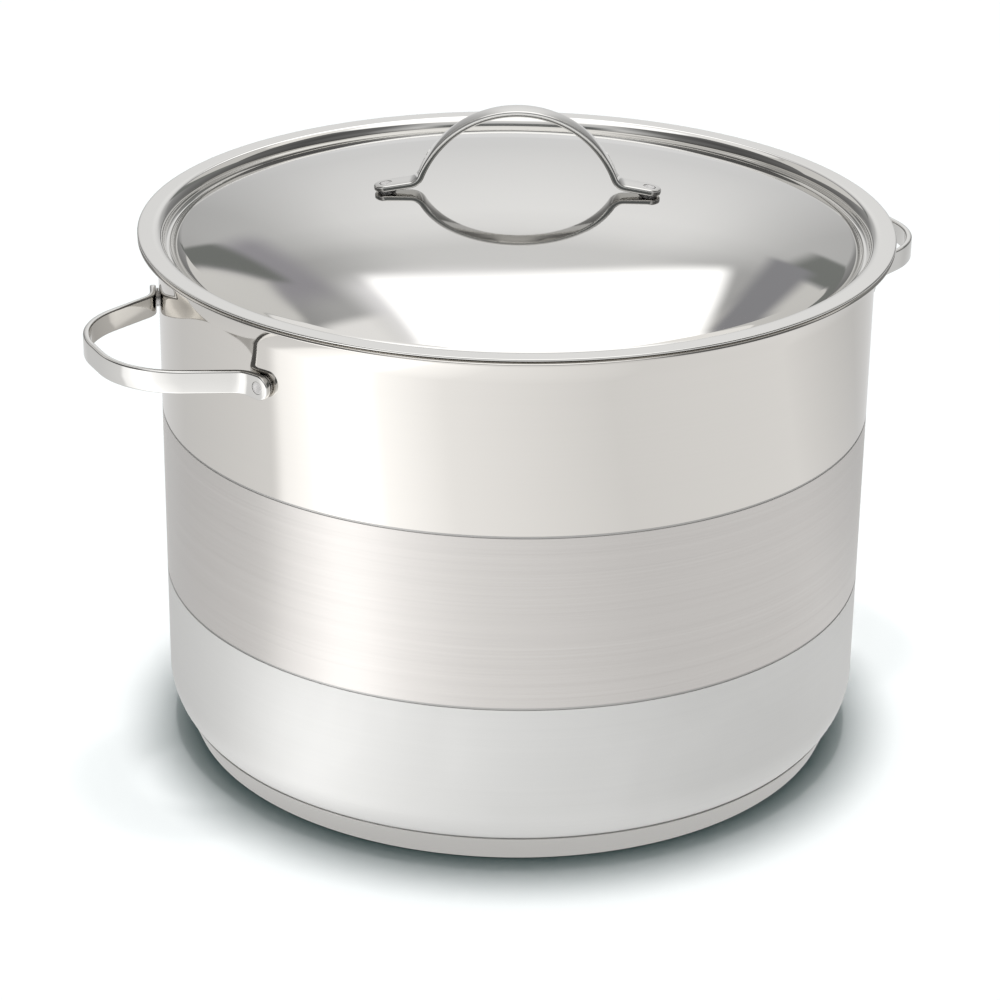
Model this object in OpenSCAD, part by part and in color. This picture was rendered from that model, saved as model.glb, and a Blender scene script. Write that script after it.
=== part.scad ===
// Round stock pot: a drawn steel shell on a layered heat-spreading base,
// two riveted strap handles and a lift-off lid with a strap handle.
// Millimetres, +Z up, origin at the centre of the base on the table.

/* [Pot shell] */
// Outside diameter of the wall
pot_d = 322; // [290:1:380]
// Height of the rim's top above the table
rim_h = 240.7; // [225:0.1:300]
// Thickness of the shell's sheet
wall_t = 1; // [0.8:0.1:1.5]
// Outside radius of the corner between wall and bottom
corner_r = 25; // [20:0.5:32]
// Radius under the outward flare of the rim
flare_r = 6; // [4:0.1:8]
// Radius under the turned-down edge of the rim
lip_r = 2.5; // [1.5:0.1:4]
// Angle by which the rim's edge is turned down
lip_turn = 50; // [20:1:70]
// Height of the lower engraved line
lower_line_h = 79.5; // [50:0.5:110]
// Height of the upper engraved line
upper_line_h = 159.5; // [120:0.5:180]
// Width of an engraved line
line_w = 1.2; // [0.6:0.1:2]
// Depth of an engraved line
line_depth = 0.3; // [0.1:0.05:0.4]

/* [Base] */
// Thickness of the heat-spreading disc
spreader_t = 4.2; // [3:0.1:7]
// Thickness of the base cap's sheet
cap_t = 0.8; // [0.5:0.1:1.2]
// Distance from the wall in to the edge of the cap's flat face on the table
cap_inset = 13.5; // [11:0.1:20]
// Outside radius of the cap's lower edge
cap_edge_r = 3; // [2:0.1:4]
// Height of the cap's top edge above the table
cap_lip_h = 12.5; // [11:0.1:15]
// Distance from the cap's top edge down to the disc's outer edge
spreader_setback = 2; // [1:0.1:3]

/* [Side handles] */
// Distance from the rim's top down to the middle of the handles
handle_drop = 30.7; // [22:0.1:80]
// Width of a handle's strap
strap_w = 10; // [8:0.2:12]
// Thickness of a handle's strap
strap_t = 2.8; // [2:0.1:3.6]
// Reach of a handle from the wall to its outer face
handle_reach = 42; // [38:0.5:50]
// Straight distance between the two rivets of a handle
foot_spacing = 120; // [114:1:140]
// Radius of a grip corner at the strap's outer face
grip_corner_r = 40; // [28:0.5:42]
// Length of the grip's straight middle
grip_flat = 10.8; // [2:0.2:14]
// Inside radius of the bend between leg and foot
foot_bend_r = 8; // [5:0.2:9]
// Diameter of the rounded end of a foot
eye_d = 11.2; // [10:0.1:13]
// Length over which a foot widens to its rounded end
foot_taper = 14; // [8:0.5:20]
// Gap between a foot and the wall
foot_gap = 1.2; // [0.8:0.1:2]

/* [Rivets] */
// Diameter of a rivet's shank
shank_d = 5.5; // [4:0.1:6]
// Diameter of the shoulder that spaces a foot from the sheet
shoulder_d = 8.4; // [7:0.1:10]
// Diameter of the domed head on the inner side
rivet_head_d = 10.5; // [8:0.1:12]
// Height of the domed head
rivet_head_h = 1.8; // [1:0.1:3]
// Depth of the shank's end below the strap's face
rivet_recess = 0.3; // [0.2:0.05:0.6]

/* [Lid] */
// Thickness of the lid's sheet
lid_t = 1; // [0.7:0.1:1.2]
// Depth of the trough below the flange
trough_depth = 7.5; // [7:0.1:10]
// Radius of the trough's bottom
trough_r = 2; // [1.5:0.1:2.5]
// Slope of the trough's inner side
trough_slope = 55; // [40:1:65]
// Radius of the bend from the trough's wall into the flange
flange_bend_r = 5; // [3:0.1:5.5]
// Radius of the knee at the dome's edge
knee_r = 8; // [5:0.5:12]
// Slope of the dome where it meets the knee
dome_edge_slope = 17; // [14.5:0.5:20]
// Radius of the dome's outer zone
shoulder_r = 420; // [300:5:480]
// Radius of the dome's middle
crown_r = 620; // [560:10:1500]

/* [Lid handle] */
// Width of the lid handle's strap
lid_strap_w = 11; // [9:0.2:13]
// Thickness of the lid handle's strap
lid_strap_t = 2.8; // [2:0.1:3.6]
// Height of the arch's outer face above the middle of the dome
arch_rise = 36.4; // [32:0.2:44]
// Radius of the arch at its outer face
arch_r = 47.5; // [42:0.5:50]
// Distance between the lid handle's two rivets
arch_spacing = 116.6; // [108:0.2:130]
// Inside radius of the bend between the arch and a foot
arch_bend_r = 5; // [3:0.2:7]
// Angle by which a foot rises from the dome towards the arch
arch_foot_rise = 4.5; // [2:0.1:7]
// Gap between a foot and the dome at the rivet
arch_foot_gap = 0.9; // [0.8:0.1:1.6]
// Direction of the lid handle about the pot's axis
lid_turn = -27.8; // [-180:0.1:180]

/* [Fits] */
// Bond line between the layers of the base
bond_gap = 0.1; // [0.05:0.01:0.2]
// Gap between the lid's flange and the rim
lid_seat_gap = 0.3; // [0.2:0.05:0.5]
// Gap around the lid's plug in the pot's mouth
lid_fit = 1; // [0.6:0.1:2]
// Radial gap between a rivet and its hole
hole_gap = 0.1; // [0.05:0.01:0.2]
// Gap under a rivet's head and at its shoulder
rivet_gap = 0.15; // [0.12:0.01:0.2]

/* [Hidden] */
$fn = 180;
// Largest turn between two points of an arc in an outline
arc_step = 5;
// Longest straight between two points of an arc in an outline
arc_chord = 5;
// Length by which a cutter runs past the sheet it cuts
cut_margin = 5;

steel = "silver";
bright_steel = "gainsboro";
base_metal = "darkgray";

// Pot and base
pot_r = pot_d / 2;
shell_z = cap_t + spreader_t + 2 * bond_gap;
corner_c = [pot_r - corner_r, shell_z + corner_r];
flare_c = [pot_r + flare_r, rim_h - wall_t - flare_r];
lip_c = [pot_r + flare_r, rim_h - wall_t - lip_r];
rim_r = lip_c.x + (lip_r + wall_t) * sin(lip_turn);

// The cap's top edge lies against the shell's corner
cap_edge_c = [pot_r - cap_inset, cap_edge_r];
cap_inner_r = cap_edge_r - cap_t;
cap_seat_r = corner_r + bond_gap;
cap_lip = on_corner(cap_seat_r, cap_lip_h);
cap_rise = cap_lip - cap_edge_c;
cap_side = atan2(cap_rise.y, cap_rise.x) - acos(cap_inner_r / norm(cap_rise));
spreader_h = cap_lip_h - spreader_setback;
spreader_r = cap_lip.x + spreader_setback * tan(cap_side) - bond_gap / cos(cap_side);

// Side handles: half of the strap's middle line, from the grip to one foot
handle_h = rim_h - handle_drop;
foot_mid_r = pot_r + foot_gap + strap_t / 2;
rivet_angle = asin(foot_spacing / 2 / foot_mid_r);
eye_angle = asin(eye_d / 2 / foot_mid_r);
bend_mid_r = foot_bend_r + strap_t / 2;
bend_c = (foot_mid_r + bend_mid_r) * direction(rivet_angle - eye_angle);
grip_mid_r = grip_corner_r - strap_t / 2;
grip_c = [pot_r + handle_reach - grip_corner_r, grip_flat / 2];
leg_span = bend_c - grip_c;
leg_heading = atan2(leg_span.y, leg_span.x) + asin((grip_mid_r + bend_mid_r) / norm(leg_span));
side_half = [
    [grip_c, grip_mid_r, 0, leg_heading - 90],
    [bend_c, bend_mid_r, leg_heading + 90, 180 + rivet_angle - eye_angle],
    [[0, 0], foot_mid_r, rivet_angle - eye_angle, rivet_angle + eye_angle]
];
grip_half_span = (pot_r + handle_reach) * sin(rivet_angle);

// Lid: profile of the upper face, from the axis out to the flange's edge
flange_z = rim_h + lid_seat_gap + lid_t;
plug_r = pot_r - wall_t - lid_fit - lid_t;
flange_bend_c = [plug_r + flange_bend_r, flange_z - flange_bend_r];
trough_c = [plug_r - trough_r, flange_z - trough_depth + trough_r];
knee_c = trough_c - (trough_r + knee_r) * direction(90 - trough_slope);
shoulder_c = knee_c - (shoulder_r - knee_r) * direction(90 - dome_edge_slope);
crown_slope = asin(shoulder_c.x / (crown_r - shoulder_r));
dome_z = shoulder_c.y + shoulder_r * cos(crown_slope) + crown_r * (1 - cos(crown_slope));
crown_c = [0, dome_z - crown_r];
lid_profile = [
    [crown_c, crown_r, 90, 90 - crown_slope],
    [shoulder_c, shoulder_r, 90 - crown_slope, 90 - dome_edge_slope],
    [knee_c, knee_r, 90 - dome_edge_slope, 90 - trough_slope],
    [trough_c, trough_r, 270 - trough_slope, 360],
    [flange_bend_c, flange_bend_r, 180, 90],
    [[rim_r, flange_z], 0]
];

// Lid handle: half of the strap's middle line, as height and distance from the axis
arch_half_spacing = arch_spacing / 2;
seat_on_crown = arch_half_spacing <= crown_r * sin(crown_slope);
seat_c = seat_on_crown ? crown_c : shoulder_c;
seat_r = seat_on_crown ? crown_r : shoulder_r;
foot_slope = asin((arch_half_spacing - seat_c.x) / seat_r);
foot_heading = 90 + foot_slope + arch_foot_rise;
foot_seat = seat_c.y + seat_r * cos(foot_slope);
foot_normal = direction(foot_heading - 90);
foot_mid = [foot_seat, arch_half_spacing] + (arch_foot_gap + lid_strap_t / 2) * foot_normal;
arch_mid_r = arch_r - lid_strap_t / 2;
arch_c = [dome_z + arch_rise - arch_r, 0];
arch_bend_mid_r = arch_bend_r + lid_strap_t / 2;
bend_start = foot_mid + arch_bend_mid_r * foot_normal - arch_c;
bend_along = bend_start * direction(foot_heading);
bend_reach = arch_mid_r + arch_bend_mid_r;
bend_back = bend_along - sqrt(bend_along ^ 2 - bend_start * bend_start + bend_reach ^ 2);
arch_bend_c = arch_c + bend_start - bend_back * direction(foot_heading);
arch_end = atan2(arch_bend_c.y - arch_c.y, arch_bend_c.x - arch_c.x);
arch_tip = foot_mid + lid_strap_w / 2 * direction(foot_heading);
arch_half = [
    [arch_c, arch_mid_r, 0, arch_end],
    [arch_bend_c, arch_bend_mid_r, 180 + arch_end, foot_heading + 90],
    [arch_tip, foot_heading]
];

// Rivets: heights of the shoulder and of the shank's end above the sheet's inner face
wall_shoulder = [wall_t + rivet_gap, wall_t + foot_gap - rivet_gap];
wall_shank = wall_t + foot_gap + strap_t - rivet_recess;
foot_lean = shoulder_d / 2 * tan(arch_foot_rise);
lid_shoulder = [lid_t + rivet_gap, lid_t + arch_foot_gap - rivet_gap - foot_lean];
lid_shank = lid_t + arch_foot_gap + lid_strap_t - rivet_recess;
rivet_dome_r = (rivet_head_h ^ 2 + (rivet_head_d / 2) ^ 2) / (2 * rivet_head_h);
rivet_dome_c = [0, rivet_dome_r - rivet_head_h - rivet_gap];
rivet_dome_half = asin(rivet_head_d / 2 / rivet_dome_r);
hole_d = shank_d + 2 * hole_gap;

// Unit vector at an angle
function direction(angle) = [cos(angle), sin(angle)];

// Point at a height on a circle about the centre of the shell's corner
function on_corner(radius, height) =
    [corner_c.x + sqrt(radius ^ 2 - (height - corner_c.y) ^ 2), height];

function reversed(list) = [for (i = [len(list) - 1:-1:0]) list[i]];

// A path piece is an arc [centre, radius, start angle, end angle] or a point [place, heading].
// Its points are moved to the left of the path by a shift.
function piece_points(piece, shift) =
    len(piece) == 2
    ? [piece[0] + shift * direction(piece[1] + 90)]
    : let (
        turn = piece[3] - piece[2],
        radius = piece[1] - sign(turn) * shift,
        steps = ceil(abs(turn) * max(1 / arc_step, radius * PI / 180 / arc_chord))
    )
    [for (i = [0:steps]) piece[0] + radius * direction(piece[2] + turn * i / steps)];

function path_points(path, shift) = [for (piece = path) each piece_points(piece, shift)];

// Outline of a sheet along a path, from a thickness on its left to one on its right
function sheet(path, left, right) =
    concat(path_points(path, left), reversed(path_points(path, -right)));

// The same path piece on the other side of the first axis, run backwards
function mirrored(piece) =
    len(piece) == 2
    ? [[piece[0].x, -piece[0].y], 180 - piece[1]]
    : [[piece[0].x, -piece[0].y], piece[1], -piece[3], -piece[2]];

function both_halves(half) = concat([for (piece = reversed(half)) mirrored(piece)], half);

// Places children on the rivet axes of the side handle at an angle, local +Z pointing outwards
module at_side_rivets(side) {
    for (end = [-1, 1])
        rotate([0, 0, side + end * rivet_angle])
            translate([0, 0, handle_h])
                rotate([0, 90, 0])
                    children();
}

// Places children on the lid's rivet axes, local +Z pointing out of the dome's upper face
module at_lid_rivets() {
    for (end = [0, 180])
        rotate([0, 0, lid_turn + end])
            translate([arch_half_spacing, 0, foot_seat])
                rotate([0, foot_slope, 0])
                    children();
}

// Rivet on +Z, with its head below zero, at the inner face of the sheet
module rivet(shoulder, shank) {
    rotate_extrude()
        polygon(concat(
            piece_points([rivet_dome_c, rivet_dome_r, 270, 270 + rivet_dome_half], 0),
            [
                [shank_d / 2, -rivet_gap],
                [shank_d / 2, shoulder[0]],
                [shoulder_d / 2, shoulder[0]],
                [shoulder_d / 2, shoulder[1]],
                [shank_d / 2, shoulder[1]],
                [shank_d / 2, shank],
                [0, shank]
            ]
        ));
}

// Face-on shape of a side handle's foot and leg, seen along the rivet
module foot_face(end) {
    half_w = strap_w / 2;
    half_eye = eye_d / 2;
    circle(d = eye_d);
    polygon([
        [half_eye, 0],
        [half_w, -end * foot_taper],
        [half_w, -end * grip_half_span],
        [-half_w, -end * grip_half_span],
        [-half_w, -end * foot_taper],
        [-half_eye, 0]
    ]);
}

module side_handle(side) {
    difference() {
        intersection() {
            translate([0, 0, handle_h])
                rotate([0, 0, side])
                    linear_extrude(height = eye_d, center = true)
                        polygon(sheet(both_halves(side_half), strap_t / 2, strap_t / 2));
            union()
                for (end = [-1, 1])
                    rotate([0, 0, side + end * rivet_angle])
                        translate([0, 0, handle_h])
                            rotate([0, 90, 0])
                                linear_extrude(height = pot_r + 2 * handle_reach)
                                    foot_face(end);
        }
        at_side_rivets(side)
            translate([0, 0, pot_r])
                cylinder(d = hole_d, h = foot_gap + strap_t + cut_margin);
    }
}

module side_rivets(side) {
    at_side_rivets(side)
        translate([0, 0, pot_r - wall_t])
            rivet(wall_shoulder, wall_shank);
}

module pot_shell() {
    path = [
        [[0, shell_z], 0],
        [corner_c, corner_r, 270, 360],
        [flare_c, flare_r, 180, 90],
        [lip_c, lip_r, 90, 90 - lip_turn]
    ];
    color(bright_steel)
        difference() {
            rotate_extrude()
                difference() {
                    polygon(sheet(path, wall_t, 0));
                    for (height = [lower_line_h, upper_line_h])
                        translate([pot_r - line_depth, height - line_w / 2])
                            square([line_depth + cut_margin, line_w]);
                }
            for (side = [0, 180])
                at_side_rivets(side)
                    translate([0, 0, pot_r - wall_t - cut_margin])
                        cylinder(d = hole_d, h = wall_t + 2 * cut_margin);
        }
}

module heat_spreader_disc() {
    seat = on_corner(cap_seat_r, spreader_h);
    seat_angle = atan2(seat.y - corner_c.y, seat.x - corner_c.x);
    path = concat(
        [[0, cap_t + bond_gap]],
        piece_points([cap_edge_c, cap_inner_r - bond_gap, 270, 360 + cap_side], 0),
        [[spreader_r, spreader_h]],
        piece_points([corner_c, cap_seat_r, seat_angle, -90], 0),
        [[0, shell_z - bond_gap]]
    );
    color(base_metal)
        rotate_extrude()
            polygon(path);
}

module base_cap() {
    path = [
        [[0, cap_t], 0],
        [cap_edge_c, cap_inner_r, 270, 360 + cap_side],
        [cap_lip, 90 + cap_side]
    ];
    color(steel)
        rotate_extrude()
            polygon(sheet(path, 0, cap_t));
}

module left_handle() {
    color(bright_steel)
        side_handle(180);
}

module right_handle() {
    color(bright_steel)
        side_handle(0);
}

module left_handle_rivets() {
    color(steel)
        side_rivets(180);
}

module right_handle_rivets() {
    color(steel)
        side_rivets(0);
}

module lid_shell() {
    color(bright_steel)
        difference() {
            rotate_extrude()
                polygon(sheet(lid_profile, 0, lid_t));
            at_lid_rivets()
                translate([0, 0, -lid_t - cut_margin])
                    cylinder(d = hole_d, h = lid_t + 2 * cut_margin);
        }
}

module lid_handle() {
    color(bright_steel)
        difference() {
            intersection() {
                rotate([0, 0, lid_turn - 90])
                    rotate([0, -90, 0])
                        linear_extrude(height = lid_strap_w, center = true)
                            polygon(sheet(both_halves(arch_half), lid_strap_t / 2, lid_strap_t / 2));
                translate([0, 0, flange_z])
                    rotate([0, 0, lid_turn])
                        linear_extrude(height = 2 * arch_r)
                            union() {
                                square([arch_spacing, lid_strap_w], center = true);
                                for (end = [-1, 1])
                                    translate([end * arch_half_spacing, 0])
                                        circle(d = lid_strap_w);
                            }
            }
            at_lid_rivets()
                cylinder(d = hole_d, h = arch_foot_gap + lid_strap_t + cut_margin);
        }
}

module lid_handle_rivets() {
    color(steel)
        at_lid_rivets()
            translate([0, 0, -lid_t])
                rivet(lid_shoulder, lid_shank);
}

pot_shell();
heat_spreader_disc();
base_cap();
left_handle();
right_handle();
left_handle_rivets();
right_handle_rivets();
lid_shell();
lid_handle();
lid_handle_rivets();
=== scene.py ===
import math

import bmesh
import bpy
from mathutils import Matrix, Vector


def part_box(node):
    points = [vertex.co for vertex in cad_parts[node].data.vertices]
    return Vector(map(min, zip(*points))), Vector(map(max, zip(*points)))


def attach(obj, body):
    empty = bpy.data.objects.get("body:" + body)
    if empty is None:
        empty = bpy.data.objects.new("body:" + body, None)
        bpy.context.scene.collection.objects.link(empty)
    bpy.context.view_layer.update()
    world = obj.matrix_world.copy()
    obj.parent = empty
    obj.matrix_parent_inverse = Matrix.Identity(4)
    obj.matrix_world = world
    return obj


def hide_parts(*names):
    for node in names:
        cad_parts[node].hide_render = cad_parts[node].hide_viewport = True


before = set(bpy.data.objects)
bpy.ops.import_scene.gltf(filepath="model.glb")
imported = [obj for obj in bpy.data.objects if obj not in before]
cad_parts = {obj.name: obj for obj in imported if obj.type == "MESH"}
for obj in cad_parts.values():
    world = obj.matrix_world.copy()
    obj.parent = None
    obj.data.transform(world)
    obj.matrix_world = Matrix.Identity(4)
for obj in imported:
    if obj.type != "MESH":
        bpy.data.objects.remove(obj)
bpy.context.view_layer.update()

bl_info = {
    "name": "Stock Pot",
    "version": (1, 0, 0),
    "blender": (4, 5, 0),
    "location": "View3D > Sidebar > Stock Pot",
    "description": "Builds a polished steel stock pot with strap handles and a domed lid",
    "category": "Add Mesh",
}

SHELL_LOW, SHELL_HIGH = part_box("pot_shell")
LID_LOW, LID_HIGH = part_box("lid_shell")
HANDLE_LOW, HANDLE_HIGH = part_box("right_handle")

# Fineness of the meshes: counts round a ring and along a curve
RING_SEGMENTS = 256
RIVET_SEGMENTS = 64
TIP_STEPS = 12
TAPER_STEPS = 8
EDGE_STEPS = 4
# Steps along an arc in degrees, and the longest chord and steps in metres
ARC_STEP = 4.0
SMALL_ARC_STEP = 20.0
PATH_STEP = 1.0
ARC_CHORD = 0.0022
STRAP_STEP = 0.0006
SUPPORT = 0.0006
ON_AXIS = 1e-7
SHARP_ANGLE = math.radians(38)

# Shares of a rivet's shank at which the dish in its end starts and is flat
DISH_EDGE, DISH_FLOOR = 0.62, 0.4


def length(name, text, value):
    return bpy.props.FloatProperty(
        name=name, description=text, default=value, min=0, unit="LENGTH", precision=4
    )


def angle(name, text, degrees):
    return bpy.props.FloatProperty(
        name=name, description=text, default=math.radians(degrees), subtype="ANGLE"
    )


def amount(name, text, value):
    return bpy.props.FloatProperty(name=name, description=text, default=value, min=0)


def colour(name, text, value):
    return bpy.props.FloatVectorProperty(
        name=name, description=text, default=value, size=3, min=0, max=1, subtype="COLOR"
    )


class PotSizes(bpy.types.PropertyGroup):
    """Sizes of the pot's shell and base"""

    wall_radius: length("Wall radius", "Outside radius of the wall", 0.161)
    sheet: length("Sheet", "Thickness of the shell's sheet", 0.001)
    bottom: length("Bottom", "Height of the shell's underside", SHELL_LOW.z)
    rim: length("Rim", "Height of the rim's top", SHELL_HIGH.z)
    corner: length("Corner", "Outside radius of the lower corner", 0.025)
    flare: length("Flare", "Radius under the flare of the rim", 0.016)
    rim_reach: length("Rim reach", "From the wall out to the highest line of the rim", 0.006)
    lip: length("Lip", "Radius under the turned-down edge of the rim", 0.0025)
    lip_turn: angle("Lip turn", "Angle by which the rim's edge is turned down", 46.5)
    lower_line: length("Lower line", "Height of the lower engraved line", 0.0795)
    upper_line: length("Upper line", "Height of the upper engraved line", 0.1595)
    line_width: length("Line width", "Width of an engraved line", 0.0012)
    line_depth: length("Line depth", "Depth of an engraved line", 0.0003)
    cap_sheet: length("Cap sheet", "Thickness of the base cap", 0.0008)
    cap_inset: length("Cap inset", "From the wall in to the cap's flat face", 0.0135)
    cap_edge: length("Cap edge", "Outside radius of the cap's lower edge", 0.003)
    cap_top: length("Cap top", "Height of the cap's top edge", 0.0125)
    cap_gap: length("Cap gap", "Gap between the cap's edge and the shell", 0.0001)


class HandleSizes(bpy.types.PropertyGroup):
    """Sizes of the side handles and the lid's arch"""

    height: length("Height", "Height of the side handles", (HANDLE_LOW.z + HANDLE_HIGH.z) / 2)
    reach: length("Reach", "Distance of the grip's outer face from the axis", HANDLE_HIGH.x)
    strap_width: length("Strap width", "Width of a side handle's strap", 0.010)
    strap_thick: length("Strap thickness", "Thickness of both straps", 0.0028)
    edge: length("Edge", "Rounding along the straps' edges", 0.0008)
    spacing: length("Rivet spacing", "Straight distance between a handle's rivets", 0.120)
    grip_corner: length("Grip corner", "Outside radius of a grip corner", 0.040)
    grip_flat: length("Grip flat", "Length of the grip's straight middle", 0.0108)
    foot_bend: length("Foot bend", "Inside radius of the bend above a foot", 0.008)
    eye: length("Foot end", "Radius of a foot's rounded end", 0.0056)
    taper: length("Foot taper", "Length over which a foot widens", 0.014)
    foot_gap: length("Foot gap", "Gap between a foot and the wall", 0.0012)
    arch_width: length("Arch width", "Width of the lid handle's strap", 0.011)
    arch_radius: length("Arch radius", "Radius of the arch's outer face", 0.0475)
    arch_rise: length("Arch rise", "Height of the arch above the dome's middle", 0.0364)
    arch_spacing: length("Arch spacing", "Distance between the lid handle's rivets", 0.1166)
    arch_bend: length("Arch bend", "Inside radius of the bend above a foot", 0.005)
    arch_taper: length("Arch taper", "Length over which an arch foot meets its end", 0.001)
    arch_gap: length("Arch gap", "Gap under a foot at its rivet", 0.0009)
    arch_lean: angle("Arch lean", "Angle by which a foot rises towards the arch", 4.5)
    arch_turn: angle("Arch turn", "Direction of the lid handle about the axis", -27.8)


class LidSizes(bpy.types.PropertyGroup):
    """Sizes of the lid's sheet"""

    sheet: length("Sheet", "Thickness of the lid's sheet", 0.001)
    edge: length("Edge", "Radius of the flange's edge", LID_HIGH.x)
    flange: length("Flange", "Height of the flange's upper face", 0.2420)
    plug: length("Plug", "Radius of the trough's upright wall", 0.158)
    trough_depth: length("Trough depth", "Depth of the trough below the flange", 0.0075)
    trough: length("Trough", "Radius of the trough's bottom", 0.002)
    flange_bend: length("Flange bend", "Radius of the bend into the flange", 0.005)
    knee: length("Knee", "Radius of the knee at the dome's edge", 0.008)
    trough_slope: angle("Trough slope", "Slope of the trough's inner side", 55)
    dome_slope: angle("Dome slope", "Slope of the dome at the knee", 17)
    shoulder: length("Shoulder", "Radius of the dome's outer zone", 0.420)
    crown: length("Crown", "Radius of the dome's middle", 0.620)


class RivetSizes(bpy.types.PropertyGroup):
    """Sizes of the rivets"""

    shank: length("Shank", "Radius of the shank", 0.00275)
    hole: length("Hole", "Radius of the hole in a foot", 0.00285)
    shoulder: length("Shoulder", "Radius of the shoulder under a foot", 0.0042)
    head: length("Head", "Radius of the domed head", 0.00525)
    head_height: length("Head height", "Height of the domed head", 0.0018)
    gap: length("Gap", "Gap under the head and at the shoulder", 0.00015)
    recess: length("Recess", "Depth of the shank's end below the strap", 0.0001)
    dish: length("Dish", "Depth of the dish in the shank's end", 0.0001)


class Finishes(bpy.types.PropertyGroup):
    """Colours and finishes of the metal"""

    polished: colour("Polished steel", "Colour of the wall's mirror finish", (0.655, 0.635, 0.605))
    lid: colour("Lid steel", "Colour of the lid and the handles", (0.648, 0.64, 0.622))
    brushed: colour("Brushed steel", "Colour of the brushed band", (0.550, 0.531, 0.513))
    satin: colour("Satin steel", "Colour of the satin band", (0.765, 0.762, 0.75))
    inside: colour("Inside", "Colour of the pot's inside", (0.74, 0.73, 0.71))
    base: colour("Base", "Colour of the base cap and the rivets", (0.58, 0.57, 0.55))
    # Darker steel in an engraved line: painted shade in the groove
    line: colour("Engraved line", "Colour in an engraved line", (0.42, 0.415, 0.405))
    aluminium: colour("Aluminium", "Colour of the heat spreader", (0.75, 0.75, 0.74))


class StageLook(bpy.types.PropertyGroup):
    """Camera and surroundings"""

    distance: length("Distance", "Camera's distance from the pot's axis", 1.3514)
    height: length("Height", "Camera's height above the floor", 0.7046)
    heading: angle("Heading", "Direction in which the camera stands", 27.8)
    aim: angle("Aim", "Turn of the camera from the pot's axis", -0.252)
    pitch: angle("Pitch", "Angle by which the camera looks down", 23.92)
    roll: angle("Roll", "Roll of the camera", 0.775)
    focal: amount("Focal length", "Focal length in millimetres on a 36 mm sensor", 114.02)
    floor: length("Floor", "Half the width of the floor", 6.0)
    lamp: amount("Lamp", "Strength of the overhead lamp", 2.45)
    lamp_angle: angle("Lamp angle", "Angle across the overhead lamp", 9)
    soft_lamp: amount("Soft lamp", "Strength of the wide overhead lamp", 0.65)
    soft_angle: angle("Soft lamp angle", "Angle across the wide overhead lamp", 40)
    lamp_tilt: angle("Lamp tilt", "Angle by which the lamps' light leans in from behind", 1.2)
    even_light: amount("Even light", "Strength of the even light on the floor", 0.105)
    even_tint: colour("Even tint", "Colour of the even light on the floor", (0.60, 0.98, 1.0))


class StockPotSettings(bpy.types.PropertyGroup):
    """All settings of the stock pot"""

    pot: bpy.props.PointerProperty(type=PotSizes)
    handle: bpy.props.PointerProperty(type=HandleSizes)
    lid: bpy.props.PointerProperty(type=LidSizes)
    rivet: bpy.props.PointerProperty(type=RivetSizes)
    finish: bpy.props.PointerProperty(type=Finishes)
    stage: bpy.props.PointerProperty(type=StageLook)


# Outlines: a path piece is an arc (centre, radius, start, end) or a point (place, heading), in degrees


def direction(degrees):
    return Vector((math.cos(math.radians(degrees)), math.sin(math.radians(degrees))))


def piece_points(piece, shift=0.0, step=ARC_STEP):
    if len(piece) == 2:
        return [Vector(piece[0]) + shift * direction(piece[1] + 90)]
    centre, radius, start, end = piece
    turn = end - start
    radius -= math.copysign(1, turn) * shift
    run = abs(math.radians(turn)) * radius
    steps = max(2, math.ceil(abs(turn) / step), math.ceil(run / ARC_CHORD))
    return [
        Vector(centre) + radius * direction(start + turn * i / steps) for i in range(steps + 1)
    ]


def path_points(path, shift=0.0, step=ARC_STEP):
    points = []
    for piece in path:
        points += piece_points(piece, shift, step)
    return points


def rounded_end(left, right, steps=8):
    """Half circle from the left side of a sheet's end round to its right side"""
    middle = (left + right) / 2
    arm = left - middle
    start = math.degrees(math.atan2(arm.y, arm.x))
    return [
        middle + arm.length * direction(start - 180 * i / steps) for i in range(1, steps)
    ]


def mirrored(piece):
    centre = (piece[0][0], -piece[0][1])
    if len(piece) == 2:
        return (centre, 180 - piece[1])
    return (centre, piece[1], -piece[3], -piece[2])


def both_halves(half):
    return [mirrored(piece) for piece in reversed(half)] + half


def supported(profile):
    """Adds points close to the ends of long straights, so that smooth shading stays at the bends"""
    out = []
    for (point, finish), (after, _) in zip(profile, profile[1:] + profile[:1]):
        out.append((point, finish))
        gap = after - point
        if gap.length > 4 * SUPPORT:
            out.append((point + gap.normalized() * SUPPORT, finish))
            out.append((after - gap.normalized() * SUPPORT, finish))
    return out


# Meshes


def new_object(name, data):
    made = bpy.data.objects.new(name, data)
    bpy.context.scene.collection.objects.link(made)
    return made


def new_piece(name, mesh, materials=()):
    for material in materials:
        mesh.materials.append(material)
    return new_object(name, mesh)


def smooth(mesh):
    mesh.polygons.foreach_set("use_smooth", [True] * len(mesh.polygons))
    mesh.set_sharp_from_angle(angle=SHARP_ANGLE)
    mesh.update()


def turned_mesh(name, profile, segments):
    """Closed profile of (point, finish) turned about the Z axis"""
    profile = supported(profile)
    verts, rings = [], []
    for point, _ in profile:
        count = 1 if point.x < ON_AXIS else segments
        rings.append((len(verts), count))
        for j in range(count):
            turn = 2 * math.pi * j / segments
            verts.append((point.x * math.cos(turn), point.x * math.sin(turn), point.y))
    faces, finishes = [], []
    for i, (_, finish) in enumerate(profile):
        first, count = rings[i]
        after, after_count = rings[(i + 1) % len(rings)]
        if count == 1 and after_count == 1:
            continue
        for j in range(segments):
            k = (j + 1) % segments
            if count == 1:
                faces.append((first, after + k, after + j))
            elif after_count == 1:
                faces.append((first + j, first + k, after))
            else:
                faces.append((first + j, first + k, after + k, after + j))
            finishes.append(finish)
    mesh = bpy.data.meshes.new(name)
    mesh.from_pydata(verts, [], faces)
    mesh.polygons.foreach_set("material_index", finishes)
    smooth(mesh)
    return mesh


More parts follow.
